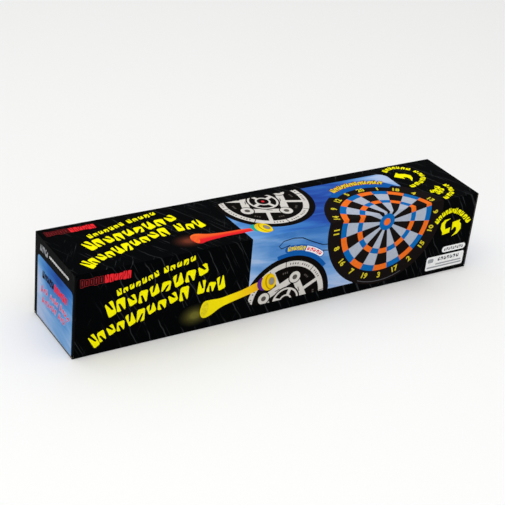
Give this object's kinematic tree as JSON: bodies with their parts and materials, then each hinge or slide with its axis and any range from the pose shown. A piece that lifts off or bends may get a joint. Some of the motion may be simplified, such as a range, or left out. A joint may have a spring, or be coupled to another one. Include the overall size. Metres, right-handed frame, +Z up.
{
  "type": "boxed magnetic dartboard set",
  "caption": "Long square printed carton with tuck-in end flaps, packed with a rolled magnetic dartboard, magnetic darts and a rules leaflet.",
  "frame": {"origin": "centre of the carton's underside", "axes": "+X along the carton to its right end, -Y out of the printed front, +Z up"},
  "size_m": [0.52, 0.1, 0.1],
  "materials": {
    "printed_carton_board": "offset print under aqueous varnish, satin",
    "printed_end_board": "offset print under aqueous varnish, satin",
    "plain_carton_board": "uncoated grey-white inside",
    "printed_magnetic_sheet": "magnetic rubber sheet with a printed face, matt",
    "header_band": "blue woven band",
    "eyelet_nickel": "nickel-plated",
    "bulb_yellow": "moulded, glossy",
    "magnet_steel": "nickel-plated disc",
    "collar_teal": "moulded",
    "collar_purple": "moulded",
    "tail_red": "soft moulded foam, matt",
    "tail_yellow": "soft moulded foam, matt",
    "leaflet_paper": "folded uncoated paper"
  },
  "bodies": {
    "carton": {"front_panel": "printed_carton_board", "back_panel": "printed_carton_board", "top_panel": "printed_carton_board", "bottom_panel": "printed_carton_board", "glue_flap": "plain_carton_board"},
    "left_end_flap": {"left_end_flap": "printed_end_board"},
    "left_tuck_tongue": {"left_tuck_tongue": "printed_end_board"},
    "left_front_dust_flap": {"left_front_dust_flap": "plain_carton_board"},
    "left_back_dust_flap": {"left_back_dust_flap": "plain_carton_board"},
    "right_end_flap": {"right_end_flap": "printed_end_board"},
    "right_tuck_tongue": {"right_tuck_tongue": "printed_end_board"},
    "right_front_dust_flap": {"right_front_dust_flap": "plain_carton_board"},
    "right_back_dust_flap": {"right_back_dust_flap": "plain_carton_board"},
    "packed_set": {"dartboard_sheet": "printed_magnetic_sheet", "header_strip": "header_band", "left_eyelet": "eyelet_nickel", "right_eyelet": "eyelet_nickel", "dart_1_bulb": "bulb_yellow", "dart_1_magnet": "magnet_steel", "dart_1_collar": "collar_teal", "dart_1_tail": "tail_red", "dart_2_bulb": "bulb_yellow", "dart_2_magnet": "magnet_steel", "dart_2_collar": "collar_teal", "dart_2_tail": "tail_red", "dart_3_bulb": "bulb_yellow", "dart_3_magnet": "magnet_steel", "dart_3_collar": "collar_teal", "dart_3_tail": "tail_red", "dart_4_bulb": "bulb_yellow", "dart_4_magnet": "magnet_steel", "dart_4_collar": "collar_purple", "dart_4_tail": "tail_yellow", "dart_5_bulb": "bulb_yellow", "dart_5_magnet": "magnet_steel", "dart_5_collar": "collar_purple", "dart_5_tail": "tail_yellow", "dart_6_bulb": "bulb_yellow", "dart_6_magnet": "magnet_steel", "dart_6_collar": "collar_purple", "dart_6_tail": "tail_yellow", "rules_leaflet": "leaflet_paper"}
  },
  "joints": [
    {"name": "left_end_flap_fold", "type": "hinge", "parent": "carton", "child": "left_end_flap", "pos_m": [-0.26, 0, 0.1], "axis": [0, 1, 0], "range_deg": [0, 180]},
    {"name": "left_tuck_tongue_fold", "type": "hinge", "parent": "left_end_flap", "child": "left_tuck_tongue", "pos_m": [-0.26, 0, 0.0015], "axis": [0, 1, 0], "range_deg": [0, 45]},
    {"name": "left_front_dust_flap_fold", "type": "hinge", "parent": "carton", "child": "left_front_dust_flap", "pos_m": [-0.2585, -0.05, 0.05], "axis": [0, 0, 1], "range_deg": [0, 108]},
    {"name": "left_back_dust_flap_fold", "type": "hinge", "parent": "carton", "child": "left_back_dust_flap", "pos_m": [-0.2585, 0.05, 0.05], "axis": [0, 0, -1], "range_deg": [0, 108]},
    {"name": "right_end_flap_fold", "type": "hinge", "parent": "carton", "child": "right_end_flap", "pos_m": [0.26, 0, 0.1], "axis": [0, -1, 0], "range_deg": [0, 180]},
    {"name": "right_tuck_tongue_fold", "type": "hinge", "parent": "right_end_flap", "child": "right_tuck_tongue", "pos_m": [0.26, 0, 0.0015], "axis": [0, -1, 0], "range_deg": [0, 45]},
    {"name": "right_front_dust_flap_fold", "type": "hinge", "parent": "carton", "child": "right_front_dust_flap", "pos_m": [0.2585, -0.05, 0.05], "axis": [0, 0, -1], "range_deg": [0, 108]},
    {"name": "right_back_dust_flap_fold", "type": "hinge", "parent": "carton", "child": "right_back_dust_flap", "pos_m": [0.2585, 0.05, 0.05], "axis": [0, 0, 1], "range_deg": [0, 108]},
    {"name": "packed_set_slide", "type": "slide", "parent": "carton", "child": "packed_set", "axis": [1, 0, 0], "range_m": [-0.01, 0.01]}
  ],
  "couplings": [
    {"joint": "left_tuck_tongue_fold", "follows": "left_end_flap_fold", "ratio": 0.25},
    {"joint": "left_front_dust_flap_fold", "follows": "left_end_flap_fold", "ratio": 0.6},
    {"joint": "left_back_dust_flap_fold", "follows": "left_end_flap_fold", "ratio": 0.6},
    {"joint": "right_tuck_tongue_fold", "follows": "right_end_flap_fold", "ratio": 0.25},
    {"joint": "right_front_dust_flap_fold", "follows": "right_end_flap_fold", "ratio": 0.6},
    {"joint": "right_back_dust_flap_fold", "follows": "right_end_flap_fold", "ratio": 0.6}
  ]
}
